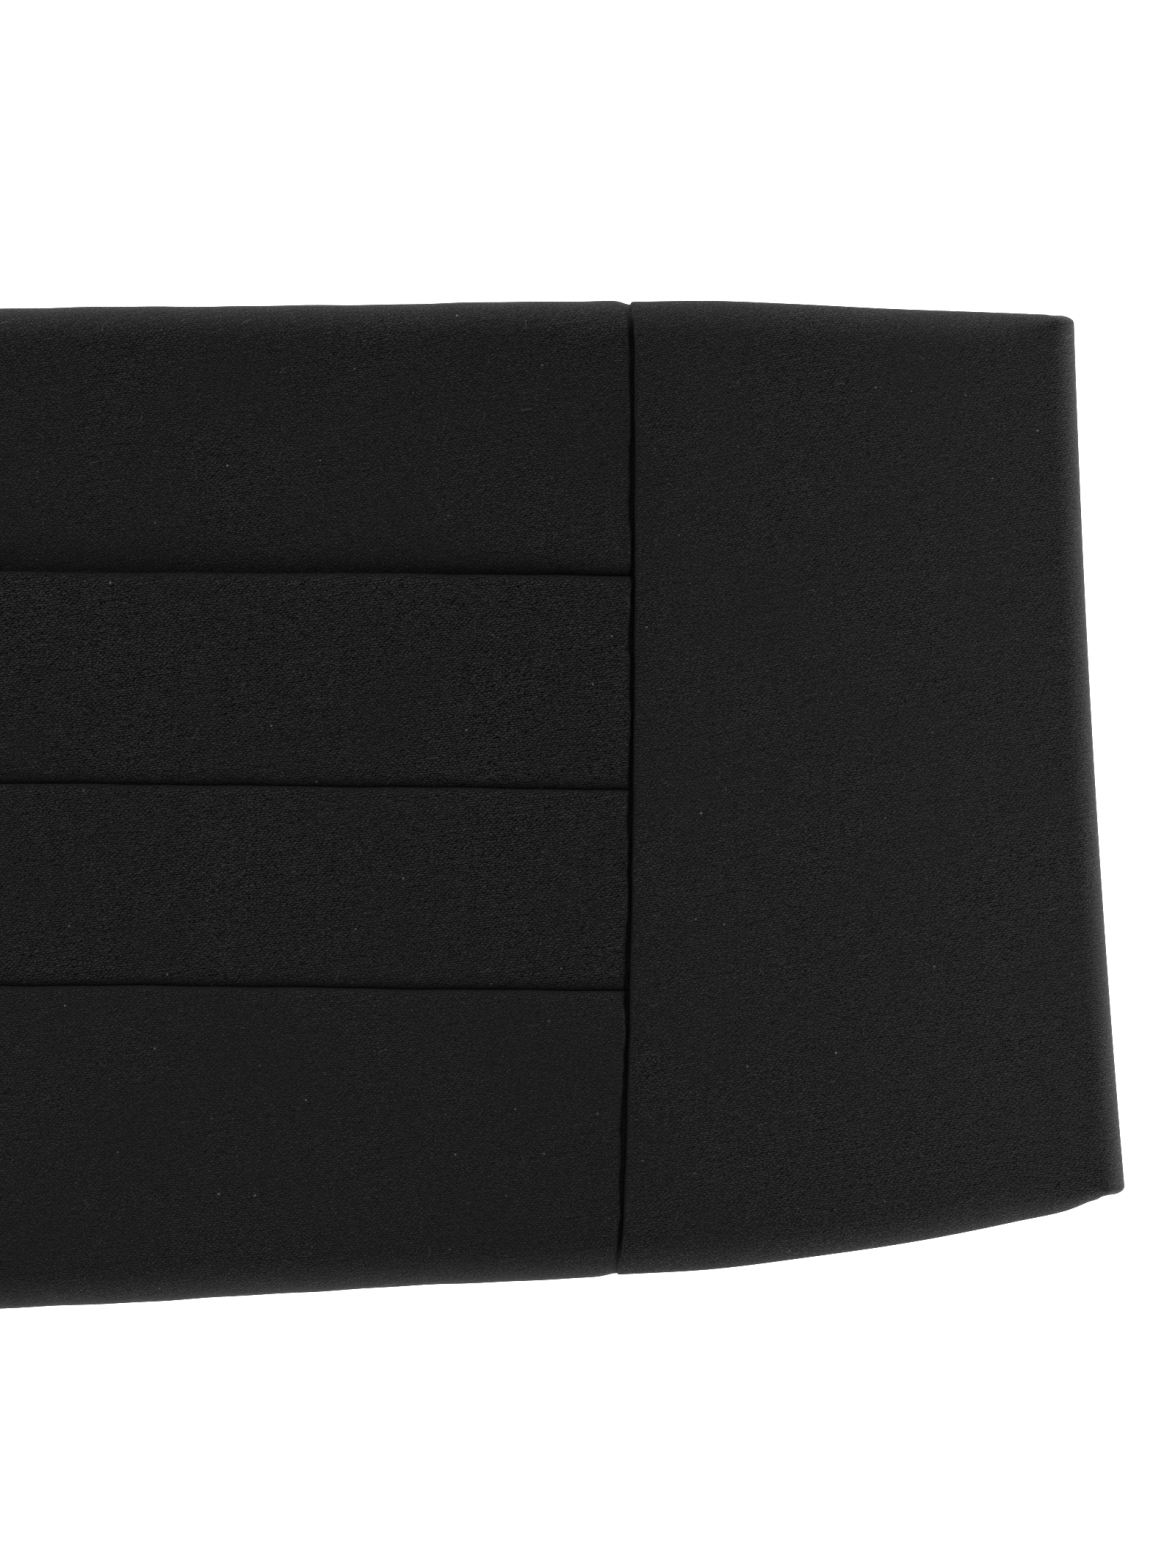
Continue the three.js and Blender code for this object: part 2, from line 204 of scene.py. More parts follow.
def drift(x, y):
    """Slow unevenness of pressed cloth: a sum of plane waves, each sin(distance / wavelength)."""
    total = 0
    for wavelength, heading, phase in WAVES:
        distance = x * np.cos(heading) + y * np.sin(heading)
        total = total + np.sin(2 * np.pi * distance / wavelength + phase)
    return DRIFT * total / np.sqrt(len(WAVES))


def lay_on_front(x, y, depth):
    """A point of the front: height falls with the cube of its share of the way to the side fold,
    and depth is measured square to that arch."""
    share = np.minimum(np.abs(x) / fold_x(y), 1)
    height = FOLD_HEIGHT + CROWN * (1 - share**CROWN_POWER) + drift(x, y) * (1 - share**DRIFT_FADE)
    lean = np.arctan(STEEPEST * share ** (CROWN_POWER - 1))
    return np.stack([x + np.sign(x) * depth * np.sin(lean), y, height + depth * np.cos(lean)], -1)


TIP_X = axis_x(STRAP_HEIGHT) - WING_LENGTH


def lay_on_side(along, y, depth):
    """A point of the right side panel: on the arch up to 1, round the fold's axis up to 2, and flat
    on the table up to 3."""
    start, end = seam_x(y) + CLEARANCE / 2, fold_x(y)
    front = lay_on_front(start + (end - start) * along, y, depth)
    turned = FOLD_START + (np.pi - FOLD_START) * (along - 1)
    radius = FOLD_INSIDE + depth
    fold = np.stack([axis_x(y) + radius * np.sin(turned), y, FOLD_OUTSIDE + radius * np.cos(turned)], -1)
    wing = np.stack([axis_x(y) + (TIP_X - axis_x(y)) * (along - 2), y, SIDE_WALL - depth], -1)
    where = along[..., None] * np.ones(3)
    return np.where(where <= 1, front, np.where(where <= 2, fold, wing))


print("side fold at x =", round(float(axis_x(0) + FOLD_OUTSIDE), 1), "mm, wing tip at", round(TIP_X, 1))

# %% [markdown]
# ## Surfaces from arrays
#
# Each piece is a ring of points carried from station to station, computed as one array and joined by
# quads. The sign of the volume inside tells whether they face outwards. The piece's own UV map holds
# the flat cloth in metres, so that a weave keeps its real scale. A number at each point says how steep
# the cloth stands there: 0 lying flat, 1 upright.

# %% Mesh helper


def skin(stations, ring):
    """Quads of a closed skin. Ring point i of one station meets point i of the next, and the end
    rings are closed by quads between point i and its mate on the other side of the wall."""
    here, following = np.arange(ring), (np.arange(ring) + 1) % ring
    first = np.arange(stations - 1)[:, None] * ring
    second = first + ring
    around = np.stack([first + here, first + following, second + following, second + here], -1)
    i = np.arange(ring // 2 - 1)
    cap = np.stack([i, ring - 1 - i, ring - 2 - i, i + 1], -1)
    last = cap[:, ::-1] + (stations - 1) * ring
    return np.concatenate([around.reshape(-1, 4), cap, last])


def enclosed(points, quads):
    """Volume inside the skin: each triangle's cone from the origin, with its sign."""
    a, b, c, d = (points[quads[:, k]] for k in range(4))
    return (np.einsum("ij,ij->i", a, np.cross(b, c)) + np.einsum("ij,ij->i", a, np.cross(c, d))).sum() / 6


def make_piece(name, rings, flat, material, nodes):
    """A mesh from rings [station, point, xyz] in mm, with flat [station, point, uv] in mm as its UV
    map and 1 - |upward part of the normal| as its steepness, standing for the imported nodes."""
    stations, ring = rings.shape[:2]
    points = rings.reshape(-1, 3) * MM
    quads = skin(stations, ring)
    if enclosed(points, quads) < 0:
        quads = quads[:, ::-1]
    mesh = bpy.data.meshes.new(name)
    mesh.from_pydata(points.tolist(), [], quads.tolist())
    mesh.polygons.foreach_set("use_smooth", np.ones(len(quads), bool))
    corners = np.zeros(len(mesh.loops), np.int32)
    mesh.loops.foreach_get("vertex_index", corners)
    cloth = mesh.uv_layers.new(name="cloth")
    cloth.data.foreach_set("uv", (flat.reshape(-1, 2) * MM)[corners].astype(np.float32).ravel())
    normals = np.zeros(len(points) * 3, np.float32)
    mesh.vertex_normals.foreach_get("vector", normals)
    steep = mesh.attributes.new("steep", "FLOAT", "POINT")
    steep.data.foreach_set("value", 1 - np.abs(normals[2::3]))
    mesh.materials.append(material)
    piece = bpy.data.objects.new(name, mesh)
    bpy.context.scene.collection.objects.link(piece)
    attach(piece, "root")
    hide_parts(*nodes)
    area_cm2 = sum(face.area for face in mesh.polygons) * 1e4
    volume_cm3 = abs(enclosed(points, quads)) * 1e6
    print(name, len(quads) * 2, "triangles,", round(area_cm2, 1), "cm2,", round(volume_cm3, 2), "cm3")
    return piece


# %% [markdown]
# ## Shader helpers
#
# A material is a small graph of nodes. A few helpers keep the graphs short: they fill a node's inputs
# with numbers or with other nodes' outputs, add a node, do a sum, or mix two colours.

# %% Node helpers


def fill(tree, node, inputs):
    """Fills a node's inputs with numbers, colours or other nodes' outputs."""
    for key, value in inputs.items():
        if isinstance(value, bpy.types.NodeSocket):
            tree.links.new(value, node.inputs[key])
        else:
            node.inputs[key].default_value = value


def add(tree, kind, inputs=None, **settings):
    """Adds a shader node, sets its properties and fills its inputs."""
    node = tree.nodes.new("ShaderNode" + kind)
    for key, value in settings.items():
        setattr(node, key, value)
    fill(tree, node, inputs or {})
    return node


def calc(tree, operation, *values, clamp=False):
    """The result of one Math node."""
    return add(tree, "Math", dict(enumerate(values)), operation=operation, use_clamp=clamp).outputs[0]


def mix(tree, factor, first, second):
    """A colour between two, by that factor."""
    inputs = {"Factor": factor, "A": first, "B": second}
    return add(tree, "Mix", inputs, data_type="RGBA").outputs["Result"]


def grey(value):
    """A neutral colour of that reflectance."""
    return (value, value, value, 1)


def new_material(name):
    """A new material, with its node tree and its surface shader."""
    material = bpy.data.materials.new(name)
    material.use_nodes = True
    return material, material.node_tree, material.node_tree.nodes["Principled BSDF"]


def new_group(name, inputs, outputs):
    """An empty node group with named number inputs, a Vector input and named number outputs."""
    tree = bpy.data.node_groups.new(name, "ShaderNodeTree")
    tree.interface.new_socket("Vector", in_out="INPUT", socket_type="NodeSocketVector")
    for label in inputs:
        tree.interface.new_socket(label, in_out="INPUT", socket_type="NodeSocketFloat")
    for label in outputs:
        tree.interface.new_socket(label, in_out="OUTPUT", socket_type="NodeSocketFloat")
    return tree, tree.nodes.new("NodeGroupInput").outputs, tree.nodes.new("NodeGroupOutput").inputs


def use(tree, group, inputs):
    """Places a group in a material, and returns its outputs."""
    return add(tree, "Group", inputs, node_tree=group).outputs


# %% [markdown]
# ## The weave
#
# Close up, such cloth shows short floats of yarn in close rows, each row shifted by about two fifths
# of a float from the last, and each float leaning a little within its row. An image texture would show
# it too, but a formula keeps it sharp at any distance. Rows are counted along one axis and floats along
# the other. The whole parts of those counts name each float and give it its own brightness, the
# fractions give its rounded shape, and fine noise bends both counts, because no yarn runs quite
# straight.

# %% Weave group
BENDS = {"Scale": 2400.0, "Detail": 2.0}  # per metre of cloth, more than one bend to a float
LUCK_SPAN = 0.3  # how much the floats differ in brightness
ALONG_POWER, ACROSS_POWER = 0.5, 0.8  # below 1 a float is flat on top and falls off towards its edges
MEAN_SHADE = 1 / ((1 + ALONG_POWER) * (1 + ACROSS_POWER))


def weave_group():
    """Height and shade of staggered floats. Row and Float are their sizes in metres, Shift is how far
    each row moves, Lean slants the floats within their rows, and Unevenness bends the counts. A
    float's height is (across) ** ACROSS_POWER * (along) ** ALONG_POWER, where across and along grow
    from 0 at its edges to 1 at its middle."""
    labels = ["Row", "Float", "Shift", "Lean", "Unevenness"]
    tree, given, result = new_group("weave", labels, ["Height", "Shade"])
    place = add(tree, "SeparateXYZ", {0: given["Vector"]}).outputs
    noise = add(tree, "TexNoise", {"Vector": given["Vector"], **BENDS}).outputs[1]
    parts = add(tree, "SeparateColor", {0: noise}).outputs
    centred = [calc(tree, "SUBTRACT", part, 0.5) for part in parts[:2]]
    bends = [calc(tree, "MULTIPLY", part, given["Unevenness"]) for part in centred]
    row_place = calc(tree, "ADD", calc(tree, "DIVIDE", place[1], given["Row"]), bends[0])
    row = calc(tree, "FLOOR", row_place)
    leaning = calc(tree, "MULTIPLY", calc(tree, "FRACT", row_place), given["Lean"])
    stepped = calc(tree, "ADD", calc(tree, "MULTIPLY", row, given["Shift"]), leaning)
    shifted = calc(tree, "ADD", stepped, bends[1])
    float_place = calc(tree, "ADD", calc(tree, "DIVIDE", place[0], given["Float"]), shifted)
    name = add(tree, "CombineXYZ", {0: calc(tree, "FLOOR", float_place), 1: row}).outputs[0]
    luck = add(tree, "TexWhiteNoise", {"Vector": name}, noise_dimensions="2D").outputs[0]
    across = calc(tree, "PINGPONG", row_place, 0.5)
    along = calc(tree, "PINGPONG", float_place, 0.5)
    ridge = calc(tree, "POWER", calc(tree, "MULTIPLY", across, 2.0), ACROSS_POWER)
    top = calc(tree, "POWER", calc(tree, "MULTIPLY", along, 2.0), ALONG_POWER)
    body = calc(tree, "MULTIPLY", ridge, top)
    tree.links.new(body, result["Height"])
    own = calc(tree, "ADD", calc(tree, "MULTIPLY", luck, LUCK_SPAN), 1 - LUCK_SPAN / 2)
    tree.links.new(calc(tree, "MULTIPLY", body, own), result["Shade"])
    return tree


WEAVE = weave_group()

# %% [markdown]
# ## Lint
#
# Black cloth always carries a little lint: a few pale specks, and short bent fibres. Scattered cells
# give each flaw its own middle and luck. Six in ten hold a speck, a small and mostly faint disc. The
# others hold a fibre: the points close to a short arc.

# %% Lint group
SPECK_SHARE = 0.6
SPECK_RADIUS = 0.00011  # m
SPECK_LEAST = 0.4  # the smallest speck has this share of it, the largest one share more
FIBRE_HALF_WIDTH = 0.00004  # m
FIBRE_REACH = 0.0008  # m, half the length of the longest
FIBRE_BEND = 1400.0  # per metre
FIBRE_STRAIGHT = 0.35  # the luck with which a fibre is straight


def lint_group():
    """Masks of specks and bent fibres. Spacing is the mean distance between them, in metres."""
    tree, given, result = new_group("lint", ["Spacing"], ["Specks", "Fibres"])
    per_metre = calc(tree, "DIVIDE", 1.0, given["Spacing"])
    counted = add(tree, "VectorMath", {0: given["Vector"], 3: per_metre}, operation="SCALE").outputs[0]
    cells = add(tree, "TexVoronoi", {"Vector": counted, "Scale": 1.0}, voronoi_dimensions="2D").outputs
    away = {0: counted, 1: cells["Position"]}
    from_middle = add(tree, "VectorMath", away, operation="SUBTRACT").outputs[0]
    local = add(tree, "VectorMath", {0: from_middle, 3: given["Spacing"]}, operation="SCALE").outputs[0]
    luck = add(tree, "SeparateColor", {0: cells["Color"]}).outputs
    is_speck = calc(tree, "LESS_THAN", luck[0], SPECK_SHARE)
    distance = add(tree, "VectorMath", {0: local}, operation="LENGTH").outputs["Value"]
    radius = calc(tree, "MULTIPLY", calc(tree, "ADD", luck[2], SPECK_LEAST), SPECK_RADIUS)
    speck = calc(tree, "MULTIPLY", is_speck, calc(tree, "LESS_THAN", distance, radius))
    bright = calc(tree, "MULTIPLY", luck[1], luck[1])
    tree.links.new(calc(tree, "MULTIPLY", speck, bright), result["Specks"])
    angle = calc(tree, "MULTIPLY", luck[1], 2 * np.pi)
    turning = {"Vector": local, "Angle": angle}
    turned = add(tree, "VectorRotate", turning, rotation_type="Z_AXIS").outputs[0]
    place = add(tree, "SeparateXYZ", {0: turned}).outputs
    bend = calc(tree, "MULTIPLY", calc(tree, "SUBTRACT", luck[2], FIBRE_STRAIGHT), FIBRE_BEND)
    arc_height = calc(tree, "MULTIPLY", calc(tree, "MULTIPLY", place[0], place[0]), bend)
    off_arc = calc(tree, "ABSOLUTE", calc(tree, "SUBTRACT", place[1], arc_height))
    reach = calc(tree, "MULTIPLY", luck[0], FIBRE_REACH)
    inside = calc(tree, "LESS_THAN", calc(tree, "ABSOLUTE", place[0]), reach)
    on_arc = calc(tree, "LESS_THAN", off_arc, FIBRE_HALF_WIDTH)
    is_fibre = calc(tree, "SUBTRACT", 1.0, is_speck)
    fibre = calc(tree, "MULTIPLY", is_fibre, calc(tree, "MULTIPLY", inside, on_arc))
    tree.links.new(calc(tree, "MULTIPLY", fibre, luck[1]), result["Fibres"])
    return tree


LINT = lint_group()

# %% [markdown]
# ## Black cloth
#
# Black dress cloth reflects only a few hundredths of the light that falls on it, and this cloth has
# next to no sheen: its edges look lighter because they turn towards the bright table. Its colour is the
# weave group's shade between a dark and a less dark black, with slow variation and the fuzz of raised
# fibre ends, and its bump is the weave group's height. On the side panels the colour also carries painted
# light: it grows lighter from the seam to the side fold and stays so beyond it, in place of the brighter
# light that falls there. Seen on the slant the floats hide the gaps between them, so the contrast fades
# where the cloth stands upright. Strips and panels are all cut a few degrees off the straight, which the
# material does by turning the weave.

# %% Cloth material
CLOTH_WEAVE = {
    "Row": 0.000294,  # m
    "Float": 0.000603,  # m
    "Shift": 0.415,  # of a float
    "Lean": -0.335,  # of a float
    "Unevenness": 1.9,  # rows or floats
}
CLOTH_DARK, CLOTH_LIGHT = 0.0053, 0.0875  # reflectance where the shade is 0 and 1
TONE_FLOOR = 0.15  # the tone before slow variation and fuzz are added
SLOW_NOISE = {"Scale": 60.0, "Detail": 3.0, "Roughness": 0.6}
SLOW_TONE = 0.3
PATCHES = 1.6  # how much the weave is weaker in one place and stronger in another
FUZZ_NOISE = {"Scale": 5000.0, "Detail": 0.0}
FUZZ_TONE = 1.4
EDGE_FADE = 0.9  # how much of the weave's contrast is gone where the cloth stands upright
LINT_SPACING = 0.006  # m
LINT_COLOUR = (0.30, 0.30, 0.29, 1)
FIBRE_STRENGTH = 0.3
ROUGHEST, SMOOTHER = 0.82, 0.12  # roughness between the floats, and how much less it is on them
CLOTH_BUMP = {"Strength": 0.25, "Distance": 0.00006}  # the distance in m
CLOTH_GLOSS = {"Specular IOR Level": 0.03, "Sheen Weight": 0.01, "Sheen Roughness": 0.5}


def cloth_material(name, slant, painted_fold_light, crispness):
    """The black cloth, its rows turned by slant degrees. The third argument is painted light: the share
    by which the colour grows lighter from the seam to the side fold, and stays so beyond it, in place of
    the brighter light that falls there. crispness multiplies the weave's contrast."""
    material, tree, shader = new_material(name)
    flat = add(tree, "UVMap", uv_map="cloth").outputs[0]
    turned = add(tree, "Mapping", {"Vector": flat, "Rotation": (0, 0, np.radians(slant))}).outputs[0]
    weave = use(tree, WEAVE, {"Vector": turned, **CLOTH_WEAVE})
    slow = add(tree, "TexNoise", {"Vector": flat, **SLOW_NOISE}).outputs[0]
    fuzz = add(tree, "TexNoise", {"Vector": flat, **FUZZ_NOISE}).outputs[0]
    slow_tone = calc(tree, "MULTIPLY", slow, SLOW_TONE)
    tone = calc(tree, "ADD", slow_tone, calc(tree, "MULTIPLY", fuzz, FUZZ_TONE))
    from_seam = calc(tree, "ABSOLUTE", add(tree, "SeparateXYZ", {0: flat}).outputs[0])
    to_fold = calc(tree, "DIVIDE", from_seam, SIDE_LENGTH * MM, clamp=True)
    # painted light: the colour grows lighter from the seam to the side fold, standing in for brighter
    # light there
    painted_light_gain = calc(tree, "ADD", calc(tree, "MULTIPLY", to_fold, painted_fold_light), 1.0)
    light = calc(tree, "MULTIPLY", calc(tree, "ADD", tone, TONE_FLOOR), painted_light_gain)
    patchy = calc(tree, "ADD", calc(tree, "MULTIPLY", slow, PATCHES), 1 - PATCHES / 2)
    steep = add(tree, "Attribute", attribute_name="steep").outputs["Fac"]
    open_gaps = calc(tree, "SUBTRACT", 1.0, calc(tree, "MULTIPLY", steep, EDGE_FADE))
    contrast = calc(tree, "MULTIPLY", calc(tree, "MULTIPLY", patchy, open_gaps), crispness)
    off_mean = calc(tree, "MULTIPLY", calc(tree, "SUBTRACT", weave["Shade"], MEAN_SHADE), contrast)
    shade = calc(tree, "MULTIPLY", calc(tree, "ADD", off_mean, MEAN_SHADE), light, clamp=True)
    black = mix(tree, shade, grey(CLOTH_DARK), grey(CLOTH_LIGHT))
    lint = use(tree, LINT, {"Vector": flat, "Spacing": LINT_SPACING})
    fibres = calc(tree, "MULTIPLY", lint["Fibres"], FIBRE_STRENGTH)
    marks = calc(tree, "ADD", lint["Specks"], fibres, clamp=True)
    colour = mix(tree, marks, black, LINT_COLOUR)
    rough = calc(tree, "SUBTRACT", ROUGHEST, calc(tree, "MULTIPLY", weave["Shade"], SMOOTHER))
    bump = add(tree, "Bump", {"Height": weave["Height"], **CLOTH_BUMP}).outputs[0]
    fill(tree, shader, {"Base Color": colour, "Roughness": rough, "Normal": bump, **CLOTH_GLOSS})
    return material


PLEAT_SLANT, PANEL_SLANT = -7.3, -9.3  # degrees
PLEAT_CRISPNESS = {1: 0.95, 2: 1.35, 3: 1.15, 4: 0.75}  # the four strips, as pressing left them
# the side panels' painted light: their colour up to 0.52 lighter towards the side fold and beyond
PANEL_CRISPNESS, PANEL_PAINTED_LIGHT = 0.9, 0.52
pleat_cloths = {
    number: cloth_material(f"pleat_{number}_cloth", PLEAT_SLANT, 0, crispness)
    for number, crispness in PLEAT_CRISPNESS.items()
}
panel_cloth = cloth_material("panel_cloth", PANEL_SLANT, PANEL_PAINTED_LIGHT, PANEL_CRISPNESS)
print("cloth materials:", len(pleat_cloths) + 1)

# %% [markdown]
# ## The pleated front
#
# Each pleat is a strip of cloth with one long fold at its top edge. From the fold the face runs down
# and slips under the next strip's fold; behind, the return runs down a little way and is held there.
# The strip could be a flat plane with a bevel, but the light shows how it really goes: it lies flat,
# then dips into the pocket under the next fold, which stands proud of it. So the strip's middle line is
# drawn in full, from the hidden return round the fold, over the face and into the next pocket, and
# given the thickness of the cloth. The uppermost pocket is the softest and stands the most open.

# %% Sizes of the folds
PLEAT_CLOTH = 0.5
LAYER_GAP = 0.1
FACE_TOP = 3.7  # height of each fold's face above the inside of the front
FACE_MIDDLE = FACE_TOP - PLEAT_CLOTH / 2
PLEAT_DEPTH = 10  # how far the return and the pocket run down behind a fold
FOLDS = table(
    "number rise tuck run",  # the step at a fold, where behind it the dip starts, and how long it is
    (2, 3.1, 0.6, 4.4),
    (3, 2.5, 0.6, 1.2),
    (4, 2.5, 0.6, 1.0),
)
DIP_START = 0.3  # how far a face has fallen below the next fold where it starts to dip
DIP_POWER = 1.5
SHORT_RUN = 1.0  # every dip is this short at the seams, which hold the pockets shut
SHORTENING = 4  # the power with which the dips shorten on the way there
HEM_FACE = 3.0  # middle of the cloth where the rolled edges meet the face
HEM_DEPTH = 12  # how far a hem is turned in
HEM_TURN = 0.4
TOP_ROLL, BOTTOM_ROLL = 4.2, 4.8
RIM_DROOP, RIM_DROOP_RUN = 1.1, 5.6
SEAM_TUCK = 1.2  # how far the strips run on under the side panels' edges
print("steps at the folds, mm:", list(FOLDS["rise"]))

# %% [markdown]
# A sewn edge is never a ruled line, so each edge and fold gets three small waves, and the two outer
# edges are drawn in where the seam crosses them. The stations that carry a strip lie closer together at
# the seams, where its surface changes most.

# %% Edges and stations
WOBBLE = 0.07
WOBBLE_WAVES = (61, 1), (23, 0.6), (9.5, 0.35)  # each wave's length, and its share of that height
WOBBLE_PHASE, EDGE_SEED = 7, 10  # they only set the edges' waves apart
SEAM_NOTCH = {"top": (-0.5, 1.0), "bottom": (0.45, 1.5)}  # how an edge is drawn in there, and its run
NOTCH_POWER = 1.6
FINE_SHARE = 0.972  # stations lie closer together beyond this share of the way to the seam
FINE_STATIONS, PLAIN_STATIONS = 30, 190
END = np.linspace(FINE_SHARE, 1, FINE_STATIONS)
MIDDLE = np.linspace(-FINE_SHARE, FINE_SHARE, PLAIN_STATIONS)
STRIP_STATIONS = np.concatenate([-END[:0:-1], MIDDLE, END[1:]])


def wobble(x, seed):
    """Small unevenness of an edge along x: sine waves, each a little shorter and lower than the last."""
    phase = WOBBLE_PHASE * seed
    waves = (high * np.sin(2 * np.pi * x / length + phase * high) for length, high in WOBBLE_WAVES)
    return WOBBLE * sum(waves)


def edge(column, along):
    """Height of one of the front's edges or folds at each station, in mm. The two outer edges are
    drawn in at the seam by notch * exp(-(distance / run) ** NOTCH_POWER)."""
    height = FRONT_HEIGHT * read(FRONT_ROWS, column, np.abs(along), level_start=True)
    seed = len(column) + FRONT_ROWS[column][0] * EDGE_SEED
    height = height + wobble(along * PLEATED_LENGTH / 2, seed)
    if column in SEAM_NOTCH:
        notch, run = SEAM_NOTCH[column]
        from_seam = np.maximum((1 - np.abs(along)) * PLEATED_LENGTH / 2 - SEAM_TUCK, 0)
        height = height + notch * np.exp(-((from_seam / run) ** NOTCH_POWER))
    return height


print("stations along a strip:", len(STRIP_STATIONS))

# %% [markdown]
# A strip's middle line is joined from stretches: straight ones, with their points even or crowded
# towards one end, and arcs of ellipses. Each is worked out at all stations at once, one row to a
# station.

# %% Stretches of a middle line


def spread(start, end, steps, bias=1.0):
    """Steps from start to end for every station, closer together near the end where bias is above 1."""
    share = 1 - (1 - np.linspace(0, 1, steps)) ** bias
    start, end = np.broadcast_arrays(np.asarray(start, float), np.asarray(end, float))
    return start[:, None] + (end - start)[:, None] * share


def turn(y, depth, wide, high, start, end, steps):
    """An ellipse's arc about (y, depth), for every station."""
    angle = np.radians(np.linspace(start, end, steps))
    return y[:, None] + wide * np.cos(angle), depth + high * np.sin(angle) + 0 * y[:, None]


def join(*stretches):
    """Stretches of one line or of many, end to end, without their shared points."""
    kept = [stretches[0]] + [(first[..., 1:], second[..., 1:]) for first, second in stretches[1:]]
    return tuple(np.concatenate(parts, -1) for parts in zip(*kept))


def travelled(first, second):
    """Distance along one line of points or along many, from the first point on."""
    steps = np.hypot(np.diff(first), np.diff(second))
    return np.concatenate([0 * steps[..., :1], np.cumsum(steps, -1)], -1)


# %% [markdown]
# Three forms make up every strip: the hem of an outer edge, the fold at a pleat's head, and the face
# that dips into the pocket under the next fold.

# %% Hems, folds and faces
FLAT_STEPS, UNDER_STEPS, OVER_STEPS = 16, 6, 20  # points along a hem's three stretches
FLAT_BIAS = 1.5
RETURN_STEPS, ROUND_STEPS = 8, 18  # and along a fold's two
FACE_STEPS, FLOOR_STEPS = 60, 7  # and along a face's two
FACE_BIAS = 1.9


def droop(from_rim):
    """How far an outer edge bends down: a parabola over its last few millimetres."""
    return RIM_DROOP * np.clip(1 - from_rim / RIM_DROOP_RUN, 0, 1) ** 2


def hem(rim, way, roll):
    """A hemmed edge from the back to the face: flat behind, tight underneath, wide and soft on top,
    and all of it drooping towards the rim."""
    middle = rim - way * PLEAT_CLOTH / 2
    low = PLEAT_CLOTH / 2
    level = low + HEM_TURN
    flat_y = spread(middle - way * HEM_DEPTH, middle - way * HEM_TURN, FLAT_STEPS, FLAT_BIAS)
    under = turn(middle - way * HEM_TURN, level, way * HEM_TURN, HEM_TURN, -90, 0, UNDER_STEPS)
    over = turn(middle - way * roll, level, way * roll, HEM_FACE - level, 0, 90, OVER_STEPS)
    y, depth = join((flat_y, np.full_like(flat_y, low)), under, over)
    return y, depth - droop(way * (rim[:, None] - y))


def fold_sizes(number):
    """Levels at a pleat's fold: the foot of the strip above, the return, and the fold's radius."""
    row = list(FOLDS["number"]).index(number)
    rise, tuck, run = (float(FOLDS[key][row]) for key in ("rise", "tuck", "run"))
    foot = FACE_MIDDLE - rise
    back = foot + PLEAT_CLOTH + LAYER_GAP
    return {"foot": foot, "back": back, "radius": (FACE_MIDDLE - back) / 2, "tuck": tuck, "run": run}


def folded_head(fold, sizes):
    """A pleat's fold from the end of its return round to the face."""
    radius = sizes["radius"]
    outer = radius + PLEAT_CLOTH / 2
    back_y = spread(fold - PLEAT_DEPTH, fold - outer, RETURN_STEPS)
    middle = (FACE_MIDDLE + sizes["back"]) / 2
    rounded = turn(fold - outer, middle, radius, radius, -90, 90, ROUND_STEPS)
    return join((back_y, np.full_like(back_y, sizes["back"])), rounded)


def face_to_pocket(start_y, start_depth, fold, sizes):
    """A face that falls evenly, then dips into the pocket under the next fold: what is left of its
    height above the pocket's floor is 1 - exp(-(distance / run) ** DIP_POWER). The dip shortens
    towards the seams with a power of the way there."""
    pocket = fold - sizes["tuck"]
    y = spread(start_y, pocket, FACE_STEPS, FACE_BIAS)
    fallen = (start_y[:, None] - y) / (start_y - fold)[:, None]
    plain = start_depth - fallen * (start_depth - FACE_MIDDLE + DIP_START)
    distance = np.maximum(y - pocket[:, None], 0)
    open_share = 1 - np.abs(STRIP_STATIONS[:, None]) ** SHORTENING
    run = SHORT_RUN + (sizes["run"] - SHORT_RUN) * open_share
    left = 1 - np.exp(-((distance / run) ** DIP_POWER))
    depth = sizes["foot"] + (plain - sizes["foot"]) * left
    foot_y = spread(pocket, fold - PLEAT_DEPTH, FLOOR_STEPS)
    return join((y, depth), (foot_y, np.full_like(foot_y, sizes["foot"])))


# %% [markdown]
# The middle line becomes a wall, half a thickness to each side. Along the seams the strips are pressed
# flat under the panels' edges, which makes the dark groove there. Near the seam's two ends the rolled
# edges resist the press, so the groove thins out to a line.

# %% From middle line to cloth
SEAM_PRESS, SEAM_PRESS_END = 0.74, 0.12  # share of the height pressed out, along it and at its ends
SEAM_PRESS_RUN = 0.3
SEAM_ENDS = 2, 5.5  # the press grows between these distances from an end
SEAM_UNEVEN = 0.3  # share by which the pressed run varies
UNEVEN_STRETCH, UNEVEN_SEED = 3, 2  # its waves are this much shorter than an edge's
STRIP_SPACING = 63  # between the strips on the flat cloth, so that no two show the same flaws


